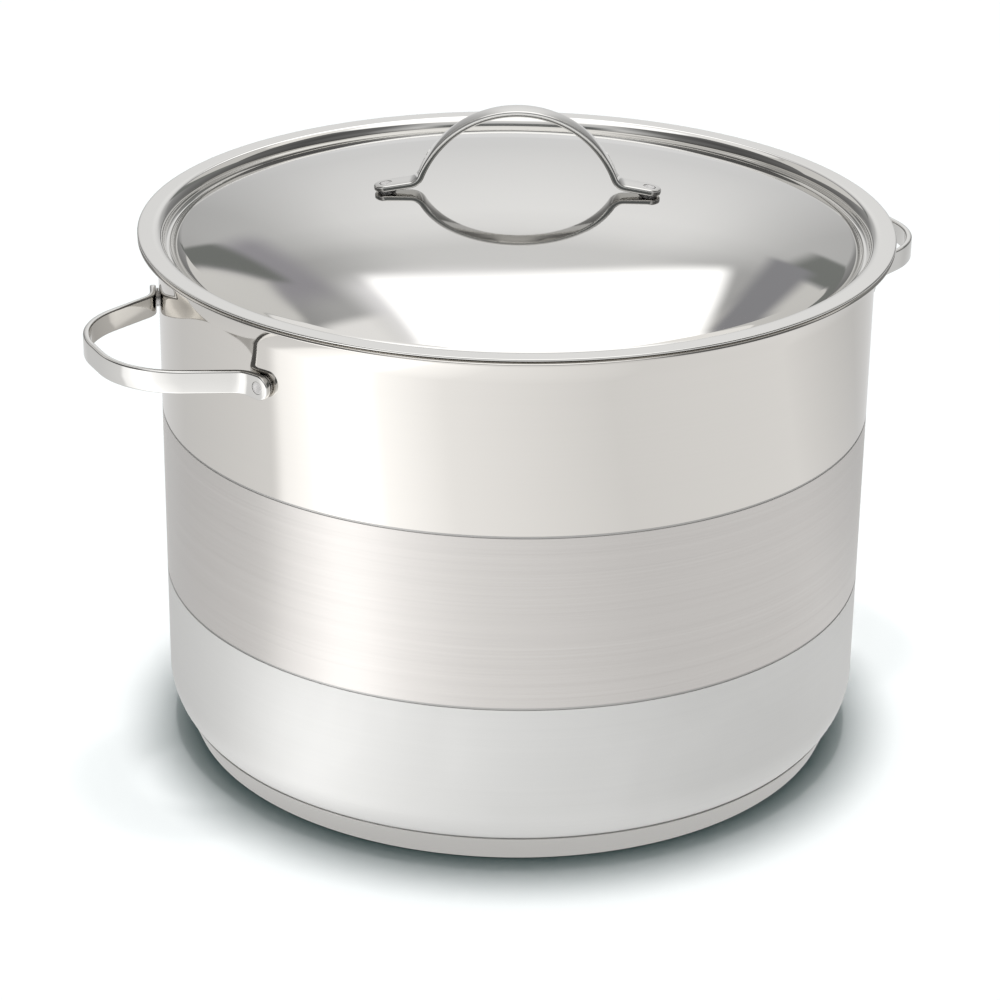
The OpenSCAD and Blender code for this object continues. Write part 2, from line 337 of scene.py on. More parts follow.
def strap_outline(run, width, eye, taper):
    """Half of a strap's outline as (along, across, outward normal) from one tip to the other"""
    tip = []
    for i in range(TIP_STEPS + 1):
        turn = 90 * i / TIP_STEPS
        tip.append((eye * (1 - math.cos(math.radians(turn))),
                    eye * math.sin(math.radians(turn)), direction(180 - turn)))
    for i in range(1, TAPER_STEPS + 1):
        share = i / TAPER_STEPS
        eased = share * share * (3 - 2 * share)
        tip.append((eye + taper * share, eye + (width / 2 - eye) * eased, Vector((0, 1))))
    middle = run - 2 * tip[-1][0]
    count = math.ceil(middle / STRAP_STEP)
    straight = [
        (tip[-1][0] + middle * i / count, width / 2, Vector((0, 1))) for i in range(1, count)
    ]
    far = [(run - s, w, Vector((-n.x, n.y))) for s, w, n in reversed(tip)]
    return tip + straight + far


def strap_blank(name, run, width, eye, taper, thick, edge, hole):
    """Flat strap along X with rounded edges and ends, and a hole in each foot"""
    outline = strap_outline(run, width, eye, taper)
    last = len(outline) - 1
    loop = [(i, 1) for i in range(last + 1)] + [(i, -1) for i in range(last - 1, 0, -1)]
    section = [
        (edge * (1 - math.cos(math.pi / 2 * k / EDGE_STEPS)),
         side * (thick / 2 - edge + edge * math.sin(math.pi / 2 * k / EDGE_STEPS)))
        for side, order in ((-1, range(EDGE_STEPS, -1, -1)), (1, range(EDGE_STEPS + 1)))
        for k in order
    ]
    depth = len(section)
    verts = []
    for i, side in loop:
        along, across, normal = outline[i]
        for inset, height in section:
            verts.append((along - inset * normal.x, side * (across - inset * normal.y), height))
    count = len(loop)
    faces = []
    for a in range(count):
        b = (a + 1) % count
        for k in range(depth - 1):
            faces.append((a * depth + k, a * depth + k + 1, b * depth + k + 1, b * depth + k))
    for i in range(last):
        near, far = (count - i) % count, (count - i - 1) % count
        ring = [near, far, i + 1, i]
        ring = [v for n, v in enumerate(ring) if v not in ring[:n]]
        faces.append([v * depth + depth - 1 for v in ring])
        faces.append([v * depth for v in reversed(ring)])
    mesh = bpy.data.meshes.new(name)
    mesh.from_pydata(verts, [], faces)
    blank = new_piece(name, mesh)
    drill_holes(blank, (eye, run - eye), hole, 4 * thick)
    return blank


def drill_holes(blank, places, radius, reach):
    """Cuts holes along Z through a blank, at places along X"""
    drill = bmesh.new()
    for along in places:
        bmesh.ops.create_cone(
            drill, cap_ends=True, segments=RIVET_SEGMENTS, radius1=radius, radius2=radius,
            depth=reach, matrix=Matrix.Translation((along, 0, 0)),
        )
    mesh = bpy.data.meshes.new(blank.name + "_drill")
    drill.to_mesh(mesh)
    drill.free()
    cutter = new_piece(mesh.name, mesh)
    cut = blank.modifiers.new("Holes", "BOOLEAN")
    cut.operation = "DIFFERENCE"
    cut.solver = "EXACT"
    cut.object = cutter
    blank.data = plain_mesh(blank)
    blank.modifiers.clear()
    bpy.data.objects.remove(cutter)


def plain_mesh(piece):
    """The piece's evaluated mesh, with its modifiers in it"""
    graph = bpy.context.evaluated_depsgraph_get()
    return bpy.data.meshes.new_from_object(piece.evaluated_get(graph), depsgraph=graph)


def path_curve(name, points):
    data = bpy.data.curves.new(name, "CURVE")
    data.dimensions = "3D"
    spline = data.splines.new("POLY")
    spline.points.add(len(points) - 1)
    for target, point in zip(spline.points, points):
        target.co = (*point, 1)
    return new_object(name, data)


def run_length(points):
    return sum((b - a).length for a, b in zip(points, points[1:]))


# Nodes: an input takes a plain value or another node's output


def feed(target, inputs):
    """Sets or links a node's inputs, which are given by name or by number"""
    for key, value in inputs.items():
        if isinstance(value, bpy.types.NodeSocket):
            target.id_data.links.new(value, target.inputs[key])
        else:
            target.inputs[key].default_value = value


def add_node(tree, kind, inputs=None, **options):
    """New node with its options set before its inputs"""
    made = tree.nodes.new(kind)
    for key, value in options.items():
        setattr(made, key, value)
    feed(made, inputs or {})
    return made


def maths(tree, operation, *values):
    return add_node(tree, "ShaderNodeMath", dict(enumerate(values)), operation=operation).outputs[0]


def vectors(tree, operation, *values, **named):
    inputs = {**dict(enumerate(values)), **named}
    made = add_node(tree, "ShaderNodeVectorMath", inputs, operation=operation)
    return made.outputs["Value" if operation == "LENGTH" else "Vector"]


def new_group(name, kind, inputs, outputs):
    """New node group: its tree, what its inputs give, and the node that its outputs go to"""
    tree = bpy.data.node_groups.new(name, kind)
    for in_out, sockets in (("OUTPUT", outputs), ("INPUT", inputs)):
        for label, value in sockets.items():
            tree.interface.new_socket(label, in_out=in_out, socket_type="NodeSocket" + value)
    return tree, tree.nodes.new("NodeGroupInput").outputs, tree.nodes.new("NodeGroupOutput")


# Geometry node trees


def finish_tree(tree, geometry, given, result):
    """Ends a tree in real geometry with its material"""
    real = add_node(tree, "GeometryNodeRealizeInstances", {"Geometry": geometry}).outputs[0]
    inputs = {"Geometry": real, "Material": given["Material"]}
    feed(result, {"Geometry": add_node(tree, "GeometryNodeSetMaterial", inputs).outputs[0]})


def strap_bend_tree():
    """Bends a flat strap along a path: X runs along it, Y across it and Z out of it"""
    if "Strap Bend" in bpy.data.node_groups:
        return bpy.data.node_groups["Strap Bend"]
    tree, given, result = new_group(
        "Strap Bend", "GeometryNodeTree",
        {"Geometry": "Geometry", "Path": "Object", "Across": "Vector", "Material": "Material"},
        {"Geometry": "Geometry"},
    )
    place = add_node(tree, "GeometryNodeInputPosition").outputs[0]
    flat = add_node(tree, "ShaderNodeSeparateXYZ", {0: place}).outputs
    path = add_node(tree, "GeometryNodeObjectInfo", {"Object": given["Path"]})
    sample = add_node(
        tree, "GeometryNodeSampleCurve",
        {"Curves": path.outputs["Geometry"], "Length": flat["X"]},
        mode="LENGTH", use_all_curves=True,
    ).outputs
    outward = vectors(tree, "CROSS_PRODUCT", sample["Tangent"], given["Across"])
    out = vectors(tree, "SCALE", vectors(tree, "NORMALIZE", outward), Scale=flat["Z"])
    side = vectors(tree, "SCALE", given["Across"], Scale=flat["Y"])
    spot = vectors(tree, "ADD", vectors(tree, "ADD", sample["Position"], side), out)
    bent = add_node(tree, "GeometryNodeSetPosition", {"Geometry": given["Geometry"], "Position": spot})
    finish_tree(tree, bent.outputs["Geometry"], given, result)
    return tree


def rivet_set_tree():
    """Sets a rivet on every point, turned to the point's axis"""
    if "Rivet Set" in bpy.data.node_groups:
        return bpy.data.node_groups["Rivet Set"]
    tree, given, result = new_group(
        "Rivet Set", "GeometryNodeTree",
        {"Geometry": "Geometry", "Rivet": "Object", "Material": "Material"}, {"Geometry": "Geometry"},
    )
    rivet = add_node(tree, "GeometryNodeObjectInfo", {"Object": given["Rivet"]})
    axis = add_node(tree, "GeometryNodeInputNamedAttribute", {"Name": "axis"}, data_type="FLOAT_VECTOR")
    turn = add_node(
        tree, "FunctionNodeAlignRotationToVector", {"Vector": axis.outputs["Attribute"]}, axis="Z"
    )
    rivets = add_node(tree, "GeometryNodeInstanceOnPoints", {
        "Points": given["Geometry"],
        "Instance": rivet.outputs["Geometry"],
        "Rotation": turn.outputs["Rotation"],
    })
    finish_tree(tree, rivets.outputs["Instances"], given, result)
    return tree


def grow(piece, tree, values):
    """Runs a tree on a piece and keeps the result as its plain mesh"""
    modifier = piece.modifiers.new(tree.name, "NODES")
    modifier.node_group = tree
    for item in tree.interface.items_tree:
        if item.item_type == "SOCKET" and item.in_out == "INPUT" and item.name in values:
            modifier[item.identifier] = values[item.name]
    mesh = plain_mesh(piece)
    piece.modifiers.clear()
    piece.data = mesh
    smooth(mesh)


def bent_strap(name, points, across, width, eye, taper):
    sizes = bpy.context.scene.stock_pot
    handle = sizes.handle
    blank = strap_blank(
        name, run_length(points), width, eye, taper,
        handle.strap_thick, handle.edge, sizes.rivet.hole,
    )
    path = path_curve(name + "_path", points)
    values = {"Path": path, "Across": across, "Material": polished_strap_steel()}
    grow(blank, strap_bend_tree(), values)
    bpy.data.objects.remove(path)
    return blank


# Materials

# Scale of the streaks against the fine lines, and their share of the tone
STREAK_SCALE = 0.13
STREAK_SHARE = 0.4
# Wipe marks per metre, and the greatest depth of the fine lines
WIPE_PATCHES = 14.0
RELIEF_DEPTH = 0.00005


def fine_lines_group():
    """Fine lines that are long in X and Y and narrow in Z, with wider streaks in their tone"""
    if "Fine Lines" in bpy.data.node_groups:
        return bpy.data.node_groups["Fine Lines"]
    tree, given, result = new_group(
        "Fine Lines", "ShaderNodeTree",
        {"Vector": "Vector", "Run": "Float", "Lines": "Float"}, {"Height": "Float", "Tone": "Float"},
    )
    scale = add_node(tree, "ShaderNodeCombineXYZ", {0: given["Run"], 1: given["Run"], 2: given["Lines"]})
    drawn_out = vectors(tree, "MULTIPLY", given["Vector"], scale.outputs[0])
    fine = add_node(tree, "ShaderNodeTexNoise", {
        "Vector": drawn_out, "Scale": 1.0, "Detail": 3.0, "Roughness": 0.65,
    }).outputs["Fac"]
    widened = vectors(tree, "SCALE", drawn_out, Scale=STREAK_SCALE)
    streaks = add_node(tree, "ShaderNodeTexNoise", {"Vector": widened, "Scale": 1.0, "Detail": 2.0})
    share = maths(tree, "MULTIPLY", streaks.outputs["Fac"], STREAK_SHARE)
    feed(result, {"Height": fine, "Tone": maths(tree, "MULTIPLY_ADD", fine, 1 - STREAK_SHARE, share)})
    return tree


def wipe_marks_group():
    """Soft uneven patches left by wiping"""
    if "Wipe Marks" in bpy.data.node_groups:
        return bpy.data.node_groups["Wipe Marks"]
    tree, given, result = new_group(
        "Wipe Marks", "ShaderNodeTree", {"Vector": "Vector", "Patches": "Float"}, {"Mask": "Float"}
    )
    noise = add_node(tree, "ShaderNodeTexNoise", {
        "Vector": given["Vector"], "Scale": given["Patches"], "Detail": 4.0, "Distortion": 0.6,
    })
    inputs = {"Value": noise.outputs["Fac"], "From Min": 0.35, "From Max": 0.68}
    feed(result, {"Mask": add_node(tree, "ShaderNodeMapRange", inputs).outputs["Result"]})
    return tree


def turned_vector(tree, source):
    """Object coordinates with the distance from the axis in Z, for lines that run in rings"""
    split = add_node(tree, "ShaderNodeSeparateXYZ", {0: source}).outputs
    flat = {"X": split["X"], "Y": split["Y"]}
    radius = vectors(tree, "LENGTH", add_node(tree, "ShaderNodeCombineXYZ", flat).outputs[0])
    return add_node(tree, "ShaderNodeCombineXYZ", {**flat, "Z": radius}).outputs[0]


def steel(name, finish, rough, lines, tone=0.0, relief=0.0, anisotropy=0.0, rings=False, run=8.0):
    """Metal in the colour of a finish, with fine lines, and wipe marks between two roughnesses"""
    if name in bpy.data.materials:
        return bpy.data.materials[name]
    material = bpy.data.materials.new(name)
    material.use_nodes = True
    tree = material.node_tree
    tint = getattr(bpy.context.scene.stock_pot.finish, finish)
    place = add_node(tree, "ShaderNodeTexCoord").outputs["Object"]
    fine = add_node(tree, "ShaderNodeGroup", node_tree=fine_lines_group())
    feed(fine, {"Vector": turned_vector(tree, place) if rings else place, "Run": run, "Lines": lines})
    marks = add_node(tree, "ShaderNodeGroup", node_tree=wipe_marks_group())
    feed(marks, {"Vector": place, "Patches": WIPE_PATCHES})
    shade = add_node(tree, "ShaderNodeMix", data_type="RGBA")
    feed(shade, {
        0: fine.outputs["Tone"],
        6: (*[c * (1 - tone) for c in tint], 1),
        7: (*[min(1, c * (1 + tone)) for c in tint], 1),
    })
    inputs = {"Value": marks.outputs["Mask"], "To Min": rough[0], "To Max": rough[1]}
    gloss = add_node(tree, "ShaderNodeMapRange", inputs).outputs["Result"]
    shader = tree.nodes["Principled BSDF"]
    feed(shader, {"Metallic": 1.0, "Base Color": shade.outputs[2], "Roughness": gloss})
    if relief:
        inputs = {"Strength": relief, "Distance": RELIEF_DEPTH, "Height": fine.outputs["Height"]}
        feed(shader, {"Normal": add_node(tree, "ShaderNodeBump", inputs).outputs["Normal"]})
    if anisotropy:
        tangent = add_node(tree, "ShaderNodeTangent", direction_type="RADIAL", axis="Z")
        feed(shader, {"Anisotropic": anisotropy, "Tangent": tangent.outputs["Tangent"]})
    return material


def polished_steel():
    return steel("polished_steel", "polished", (0.03, 0.06), 1800, tone=0.015)


def polished_lid_steel():
    return steel("polished_lid_steel", "lid", (0.03, 0.06), 1500, tone=0.012, rings=True)


def polished_strap_steel():
    return steel("polished_strap_steel", "lid", (0.04, 0.09), 900, tone=0.015, relief=0.01, run=300)


def brushed_steel():
    return steel(
        "brushed_steel", "brushed", (0.22, 0.26), 2600, tone=0.10, relief=0.25, anisotropy=0.75
    )


def satin_steel():
    return steel("satin_steel", "satin", (0.62, 0.68), 3400, tone=0.03, relief=0.06)


def inside_steel():
    return steel("inside_steel", "inside", (0.28, 0.31), 2200, tone=0.05, relief=0.05, anisotropy=0.4)


def base_steel():
    return steel("base_steel", "base", (0.22, 0.3), 2400, tone=0.08, relief=0.2, rings=True)


def rivet_steel():
    return steel("rivet_steel", "base", (0.12, 0.2), 2500, tone=0.05, relief=0.05, run=400)


# Steel of the engraved lines, darkened as painted shade in their grooves
def line_steel():
    return steel("line_steel", "line", (0.35, 0.45), 4000, tone=0.1)


def spreader_aluminium():
    return steel("spreader_aluminium", "aluminium", (0.4, 0.5), 1500, tone=0.06, relief=0.2, rings=True)


def hand_over(piece, body, slot, *nodes):
    """Sets a finished piece in place of its CAD nodes"""
    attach(piece, body)
    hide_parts(*nodes)


# Pieces


class STOCKPOT_OT_pot_body(bpy.types.Operator):
    """Build the drawn shell with its flared rim and engraved lines"""

    bl_idname = "stockpot.pot_body"
    bl_label = "Pot body"

    def execute(self, context):
        pot = context.scene.stock_pot.pot
        wall, sheet, rim = pot.wall_radius, pot.sheet, pot.rim
        polished, brushed, satin, inside, line = range(5)
        corner = ((wall - pot.corner, pot.bottom + pot.corner), pot.corner, 270, 360)
        crest = rim - sheet - pot.lip
        turn = math.acos((pot.flare - pot.rim_reach) / (pot.flare - pot.lip))
        start = 180 - math.degrees(turn)
        low = crest - (pot.flare - pot.lip) * math.sin(turn)
        flare = ((wall + pot.flare, low), pot.flare, 180, start)
        lip = ((wall + pot.rim_reach, crest), pot.lip, start, 90 - math.degrees(pot.lip_turn))
        outer = [(Vector((0, pot.bottom)), satin)]
        outer += [(point, satin) for point in piece_points(corner)]
        half, lean = pot.line_width / 2, pot.line_depth / 2
        for height, above in ((pot.lower_line, brushed), (pot.upper_line, polished)):
            outer += [
                (Vector((wall, height - half)), line),
                (Vector((wall - pot.line_depth, height - half + lean)), line),
                (Vector((wall - pot.line_depth, height + half - lean)), line),
                (Vector((wall, height + half)), above),
            ]
        outer += [(point, polished) for point in path_points([flare, lip])]
        inner = [(point, polished) for point in reversed(path_points([flare, lip], sheet))]
        edge = rounded_end(inner[0][0], outer[-1][0])
        outer += [(point, polished) for point in reversed(edge)]
        inner[-1] = (inner[-1][0], inside)
        inner += [(point, inside) for point in reversed(piece_points(corner, sheet))]
        inner.append((Vector((0, pot.bottom + sheet)), inside))
        mesh = turned_mesh("pot_body", outer + inner, RING_SEGMENTS)
        finishes = [polished_steel(), brushed_steel(), satin_steel(), inside_steel(), line_steel()]
        hand_over(new_piece("pot_body", mesh, finishes), "pot", "shell_steel", "pot_shell")
        return {"FINISHED"}


class STOCKPOT_OT_base(bpy.types.Operator):
    """Build the base cap and finish the heat spreader under the pot"""

    bl_idname = "stockpot.base"
    bl_label = "Base"

    def execute(self, context):
        pot = context.scene.stock_pot.pot
        centre = Vector((pot.wall_radius - pot.corner, pot.bottom + pot.corner))
        seat = pot.corner + pot.cap_gap
        drop = pot.cap_top - centre.y
        lip = Vector((centre.x + math.sqrt(seat**2 - drop**2), pot.cap_top))
        edge = Vector((pot.wall_radius - pot.cap_inset, pot.cap_edge))
        inner = pot.cap_edge - pot.cap_sheet
        rise = lip - edge
        side = math.degrees(math.atan2(rise.y, rise.x) - math.acos(inner / rise.length))
        path = [((0, pot.cap_sheet), 0), (edge, inner, 270, 360 + side), (lip, 90 + side)]
        outer = path_points(path, -pot.cap_sheet)
        inside = path_points(path)
        top = rounded_end(inside[-1], outer[-1])
        profile = outer + list(reversed(top)) + list(reversed(inside))
        mesh = turned_mesh("base_cap_steel", [(point, 0) for point in profile], RING_SEGMENTS)
        hand_over(new_piece("base_cap_steel", mesh, [base_steel()]), "pot", "base_steel", "base_cap")
        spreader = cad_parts["heat_spreader_disc"]
        spreader.data.materials.clear()
        spreader.data.materials.append(spreader_aluminium())
        return {"FINISHED"}


def side_feet(sizes):
    """Radius of the middle of the side handles' feet, and direction of their rivets in degrees"""
    handle = sizes.handle
    radius = sizes.pot.wall_radius + handle.foot_gap + handle.strap_thick / 2
    return radius, math.degrees(math.asin(handle.spacing / 2 / radius))


class STOCKPOT_OT_side_handles(bpy.types.Operator):
    """Build the two bowed strap handles"""

    bl_idname = "stockpot.side_handles"
    bl_label = "Side handles"

    def execute(self, context):
        sizes = context.scene.stock_pot
        handle, thick = sizes.handle, sizes.handle.strap_thick
        foot_radius, rivet = side_feet(sizes)
        eye = math.degrees(math.asin(handle.eye / foot_radius))
        bend_radius = handle.foot_bend + thick / 2
        bend = (foot_radius + bend_radius) * direction(rivet - eye)
        grip_radius = handle.grip_corner - thick / 2
        grip = Vector((handle.reach - handle.grip_corner, handle.grip_flat / 2))
        span = bend - grip
        heading = math.degrees(
            math.atan2(span.y, span.x) + math.asin((grip_radius + bend_radius) / span.length)
        )
        half = [
            (grip, grip_radius, 0, heading - 90),
            (bend, bend_radius, heading + 90, 180 + rivet - eye),
            ((0, 0), foot_radius, rivet - eye, rivet + eye),
        ]
        flat = path_points(both_halves(half), step=PATH_STEP)
        for side, sign in (("right", 1), ("left", -1)):
            points = [Vector((sign * p.x, sign * p.y, handle.height)) for p in flat]
            piece = bent_strap(
                "side_handle_" + side, points, (0, 0, 1), handle.strap_width, handle.eye, handle.taper
            )
            hand_over(piece, "pot", "handle_steel", side + "_handle")
        return {"FINISHED"}


def dome_shape(sizes):
    """Lid profile from the axis to the flange's edge, and the dome's top and centre"""
    lid = sizes.lid
    slope, edge_slope = math.degrees(lid.trough_slope), math.degrees(lid.dome_slope)
    flange_bend = Vector((lid.plug + lid.flange_bend, lid.flange - lid.flange_bend))
    trough = Vector((lid.plug - lid.trough, lid.flange - lid.trough_depth + lid.trough))
    knee = trough - (lid.trough + lid.knee) * direction(90 - slope)
    shoulder = knee - (lid.shoulder - lid.knee) * direction(90 - edge_slope)
    crown_slope = math.asin(shoulder.x / (lid.crown - lid.shoulder))
    top = shoulder.y + lid.shoulder * math.cos(crown_slope)
    top += lid.crown * (1 - math.cos(crown_slope))
    crown = Vector((0, top - lid.crown))
    turn = math.degrees(crown_slope)
    path = [
        (crown, lid.crown, 90, 90 - turn),
        (shoulder, lid.shoulder, 90 - turn, 90 - edge_slope),
        (knee, lid.knee, 90 - edge_slope, 90 - slope),
        (trough, lid.trough, 270 - slope, 360),
        (flange_bend, lid.flange_bend, 180, 90),
        ((lid.edge - lid.sheet / 2, lid.flange), 0),
    ]
    return path, top, crown.y


class STOCKPOT_OT_lid(bpy.types.Operator):
    """Build the pressed lid with its flange, trough and dome"""

    bl_idname = "stockpot.lid"
    bl_label = "Lid"

    def execute(self, context):
        sizes = context.scene.stock_pot
        path, _, _ = dome_shape(sizes)
        upper = path_points(path)
        lower = path_points(path, -sizes.lid.sheet)
        upper[0].x = lower[0].x = 0
        edge = rounded_end(upper[-1], lower[-1])
        profile = lower + list(reversed(edge)) + list(reversed(upper))
        mesh = turned_mesh("lid_sheet", [(point, 0) for point in profile], RING_SEGMENTS)
        piece = new_piece("lid_sheet", mesh, [polished_lid_steel()])
        hand_over(piece, "lid", "lid_steel", "lid_shell")
        return {"FINISHED"}


def arch_foot(sizes):
    """Slope of the dome at a lid rivet and the height of the dome there"""
    handle, lid = sizes.handle, sizes.lid
    _, _, crown = dome_shape(sizes)
    slope = math.asin(handle.arch_spacing / 2 / lid.crown)
    return slope, crown + lid.crown * math.cos(slope)


class STOCKPOT_OT_lid_handle(bpy.types.Operator):
    """Build the lid's arched strap handle"""

    bl_idname = "stockpot.lid_handle"
    bl_label = "Lid handle"

    def execute(self, context):
        sizes = context.scene.stock_pot
        handle, thick = sizes.handle, sizes.handle.strap_thick
        _, top, _ = dome_shape(sizes)
        slope, seat = arch_foot(sizes)
        heading = 90 + math.degrees(slope + handle.arch_lean)
        normal, along = direction(heading - 90), direction(heading)
        foot = Vector((seat, handle.arch_spacing / 2)) + (handle.arch_gap + thick / 2) * normal
        arch_radius = handle.arch_radius - thick / 2
        arch = Vector((top + handle.arch_rise - handle.arch_radius, 0))
        bend_radius = handle.arch_bend + thick / 2
        start = foot + bend_radius * normal - arch
        run = start.dot(along)
        back = run - math.sqrt(run**2 - start.dot(start) + (arch_radius + bend_radius) ** 2)
        bend = arch + start - back * along
        end = math.degrees(math.atan2(bend.y - arch.y, bend.x - arch.x))
        tip = foot + handle.arch_width / 2 * along
        half = [
            (arch, arch_radius, 0, end),
            (bend, bend_radius, 180 + end, heading + 90),
            (tip, heading),
        ]
        turn = handle.arch_turn
        points = [
            Vector((p.y * math.cos(turn), p.y * math.sin(turn), p.x))
            for p in path_points(both_halves(half), step=PATH_STEP)
        ]
        across = (math.sin(turn), -math.cos(turn), 0)
        piece = bent_strap(
            "lid_arch", points, across, handle.arch_width, handle.arch_width / 2, handle.arch_taper
        )
        hand_over(piece, "lid", "handle_steel", "lid_handle")
        return {"FINISHED"}


def rivet_profile(rivet, sheet, gap, strap, lean):
    """Rivet outline from the domed head below zero to the dished end above the strap"""
    dome = (rivet.head_height**2 + rivet.head**2) / (2 * rivet.head_height)
    half = math.degrees(math.asin(rivet.head / dome))
    centre = (0, dome - rivet.head_height - rivet.gap)
    low = sheet + rivet.gap
    high = sheet + gap - rivet.gap - rivet.shoulder * math.tan(lean)
    end = sheet + gap + strap - rivet.recess
    soft = rivet.dish
    points = piece_points((centre, dome, 270, 270 + half))
    points += [
        Vector((rivet.shank, -rivet.gap)), Vector((rivet.shank, low)),
        Vector((rivet.shoulder, low)), Vector((rivet.shoulder, high)),
        Vector((rivet.shank, high)), Vector((rivet.shank, end - soft)),
    ]
    points += piece_points(((rivet.shank - soft, end - soft), soft, 0, 90), step=SMALL_ARC_STEP)
    points += [
        Vector((DISH_EDGE * rivet.shank, end)),
        Vector((DISH_FLOOR * rivet.shank, end - rivet.dish)),
        Vector((0, end - rivet.dish)),
    ]
    points[0].x = 0
    return [(point, 0) for point in points]


def rivet_spots(turns, reach, height, slope, sheet):
    """Place on the sheet's inner face and axis of rivets in some directions, in degrees"""
    spots = []
    for turn in turns:
        out = direction(turn).to_3d()
        axis = math.sin(slope) * out + Vector((0, 0, math.cos(slope)))
        spots.append((reach * out + Vector((0, 0, height)) - sheet * axis, axis))
    return spots


def set_rivets(name, profile, spots, body, nodes):
    """Rivets of one profile on (place, axis) spots, as one piece"""
    pattern = new_piece(name + "_pattern", turned_mesh(name + "_pattern", profile, RIVET_SEGMENTS))
    mesh = bpy.data.meshes.new(name)
    mesh.from_pydata([place for place, _ in spots], [], [])
    axis = mesh.attributes.new("axis", "FLOAT_VECTOR", "POINT")
    axis.data.foreach_set("vector", [value for _, turn in spots for value in turn])
    piece = new_piece(name, mesh)
    grow(piece, rivet_set_tree(), {"Rivet": pattern, "Material": rivet_steel()})
    bpy.data.objects.remove(pattern)
    hand_over(piece, body, "rivet_steel", *nodes)


class STOCKPOT_OT_rivets(bpy.types.Operator):
    """Set the shouldered rivets of the side handles and of the lid's arch"""

    bl_idname = "stockpot.rivets"
    bl_label = "Rivets"

    def execute(self, context):
        sizes = context.scene.stock_pot
        pot, handle, lid, rivet = sizes.pot, sizes.handle, sizes.lid, sizes.rivet
        thick = handle.strap_thick
        _, spread = side_feet(sizes)
        turns = (spread, -spread, 180 + spread, 180 - spread)
        spots = rivet_spots(turns, pot.wall_radius, handle.height, math.pi / 2, pot.sheet)
        profile = rivet_profile(rivet, pot.sheet, handle.foot_gap, thick, 0)
        set_rivets("pot_rivets", profile, spots, "pot", ["left_handle_rivets", "right_handle_rivets"])
        slope, seat = arch_foot(sizes)
        turn = math.degrees(handle.arch_turn)
        spots = rivet_spots((turn, turn + 180), handle.arch_spacing / 2, seat, slope, lid.sheet)
        profile = rivet_profile(rivet, lid.sheet, handle.arch_gap, thick, handle.arch_lean)
        set_rivets("lid_rivets", profile, spots, "lid", ["lid_handle_rivets"])
        return {"FINISHED"}


# Stage: bearings are in degrees, with azimuth 0 straight behind the pot, and a level of 1 is white

# Levels that the metal mirrors from the backdrop, by elevation and by angle from its middle
BACKDROP_MIDDLE = 1.0
BACKDROP_RISE = [
    (-30, 0.72), (-4, 0.74), (4, 0.80), (12, 0.92), (20, 1.03), (24, 1.07), (28, 1.02), (32, 0.86),
    (45, 0.9), (60, 1.2), (90, 1.6),
]
BACKDROP_SPREAD = [
    (0, 1.0), (6, 0.98), (8, 0.95), (10, 0.88), (12.5, 0.75), (15, 0.62), (18, 0.58), (24, 0.36),
    (40, 0.26), (62, 0.20), (100, 0.12), (125, 0.22), (145, 0.80), (180, 0.95),
]

# Shapes of the panels' edges: a bearing at which an edge starts or turns, and how it moves from there
POINT_RISE, POINT_LEAN = 33.8, 0.2
SLANT_FOOT, SLANT_LEAN, WIDE_LEAN = 40.0, -0.2, -0.33
STEEP_FOOT, STEEP_RISE = -18.0, -1.4
BOW_MIDDLE, BOW_RISE = -4.0, 0.02

# Soft panels that the metal mirrors: the bearings of the left side, the right side and the ends,
# the limits of the sides and of the ends, the softness of both, and the colour
PANELS = [
    # Left panel, with a grey and a dark edge
    ("pointed", "pointed", "elevation", (-64, -18.4), (21, 45.5), (0.6, 0.5), (0.84, 0.83, 0.81)),
    ("pointed", "azimuth", "elevation", (-18.4, -15.0), (22.5, 40), (1.2, 3.0), (0.40, 0.39, 0.42)),
    ("pointed", "azimuth", "steep", (-18.4, -17.2), (20.1, 34.5), (0.5, 1.0), (0.22, 0.23, 0.22)),
    # Bright strips above the middle and above the left panel
    ("azimuth", "azimuth", "elevation", (-13.2, 6), (38, 62), (2.5, 3.0), (1.25, 1.24, 1.27)),
    ("azimuth", "azimuth", "elevation", (-64, -13), (46, 62), (2.5, 1.2), (1.12, 1.11, 1.10)),
    # Right panel, with a dark foot, a grey edge and a bright strip above it
    ("azimuth", "azimuth", "elevation", (17.3, 64), (21.8, 28.8), (0.8, 0.6), (0.24, 0.25, 0.24)),
    ("azimuth", "azimuth", "elevation", (18.5, 64), (29.5, 48), (0.8, 0.5), (0.80, 0.79, 0.77)),
    ("slanted", "slanted", "elevation", (18.5, 21.9), (26.5, 48), (0.7, 0.6), (0.33, 0.33, 0.35)),
    ("azimuth", "azimuth", "elevation", (17.5, 64), (48, 62), (1.2, 0.6), (1.15, 1.13, 1.10)),
    # Large bright panel over the lid, the ceiling, and a dark panel in front of the pot
    ("azimuth", "wide", "bowed", (-11.6, 17.2), (38.7, 120), (0.9, 1.8), (1.85, 1.85, 1.85)),
    ("azimuth", "azimuth", "elevation", (-200, 200), (62, 91), (6, 3), (1.7, 1.7, 1.7)),
    ("off_middle", "off_middle", "elevation", (150, 200), (2, 30), (8, 4), (0.16, 0.17, 0.17)),
]

# Levels of the painted glow that the floor shows the metal in place of its lit side, a painted
# reflection with bright streaks: by angle from the front and close to the pot, the distances over
# which the close level fades out, and how far the pattern turns with the distance
FLOOR_GLOW_ROUND = [
    (-180, 0.80), (-117, 0.75), (-84, 0.89), (-71, 0.95), (-67, 1.40), (-58, 1.60), (-51, 2.05),
    (-42, 2.05), (-34, 1.55), (-15, 1.20), (11, 1.05), (31, 0.94), (56, 0.97), (87, 1.0), (126, 0.70),
    (180, 0.80),
]
# Flat painted glow close to the pot, which the lower corner and the base cap mirror
FLOOR_NEAR_GLOW = 0.85
NEAR_FADE = (0.150, 0.215)
SWEEP_MIDDLE, SWEEP_END, SWEEP_PER_METRE = 0.55, 0.7, 28.0

LAMP_HEIGHT = 2.0
SENSOR_WIDTH = 36.0
CLIP_START, CLIP_END = 0.01, 50.0


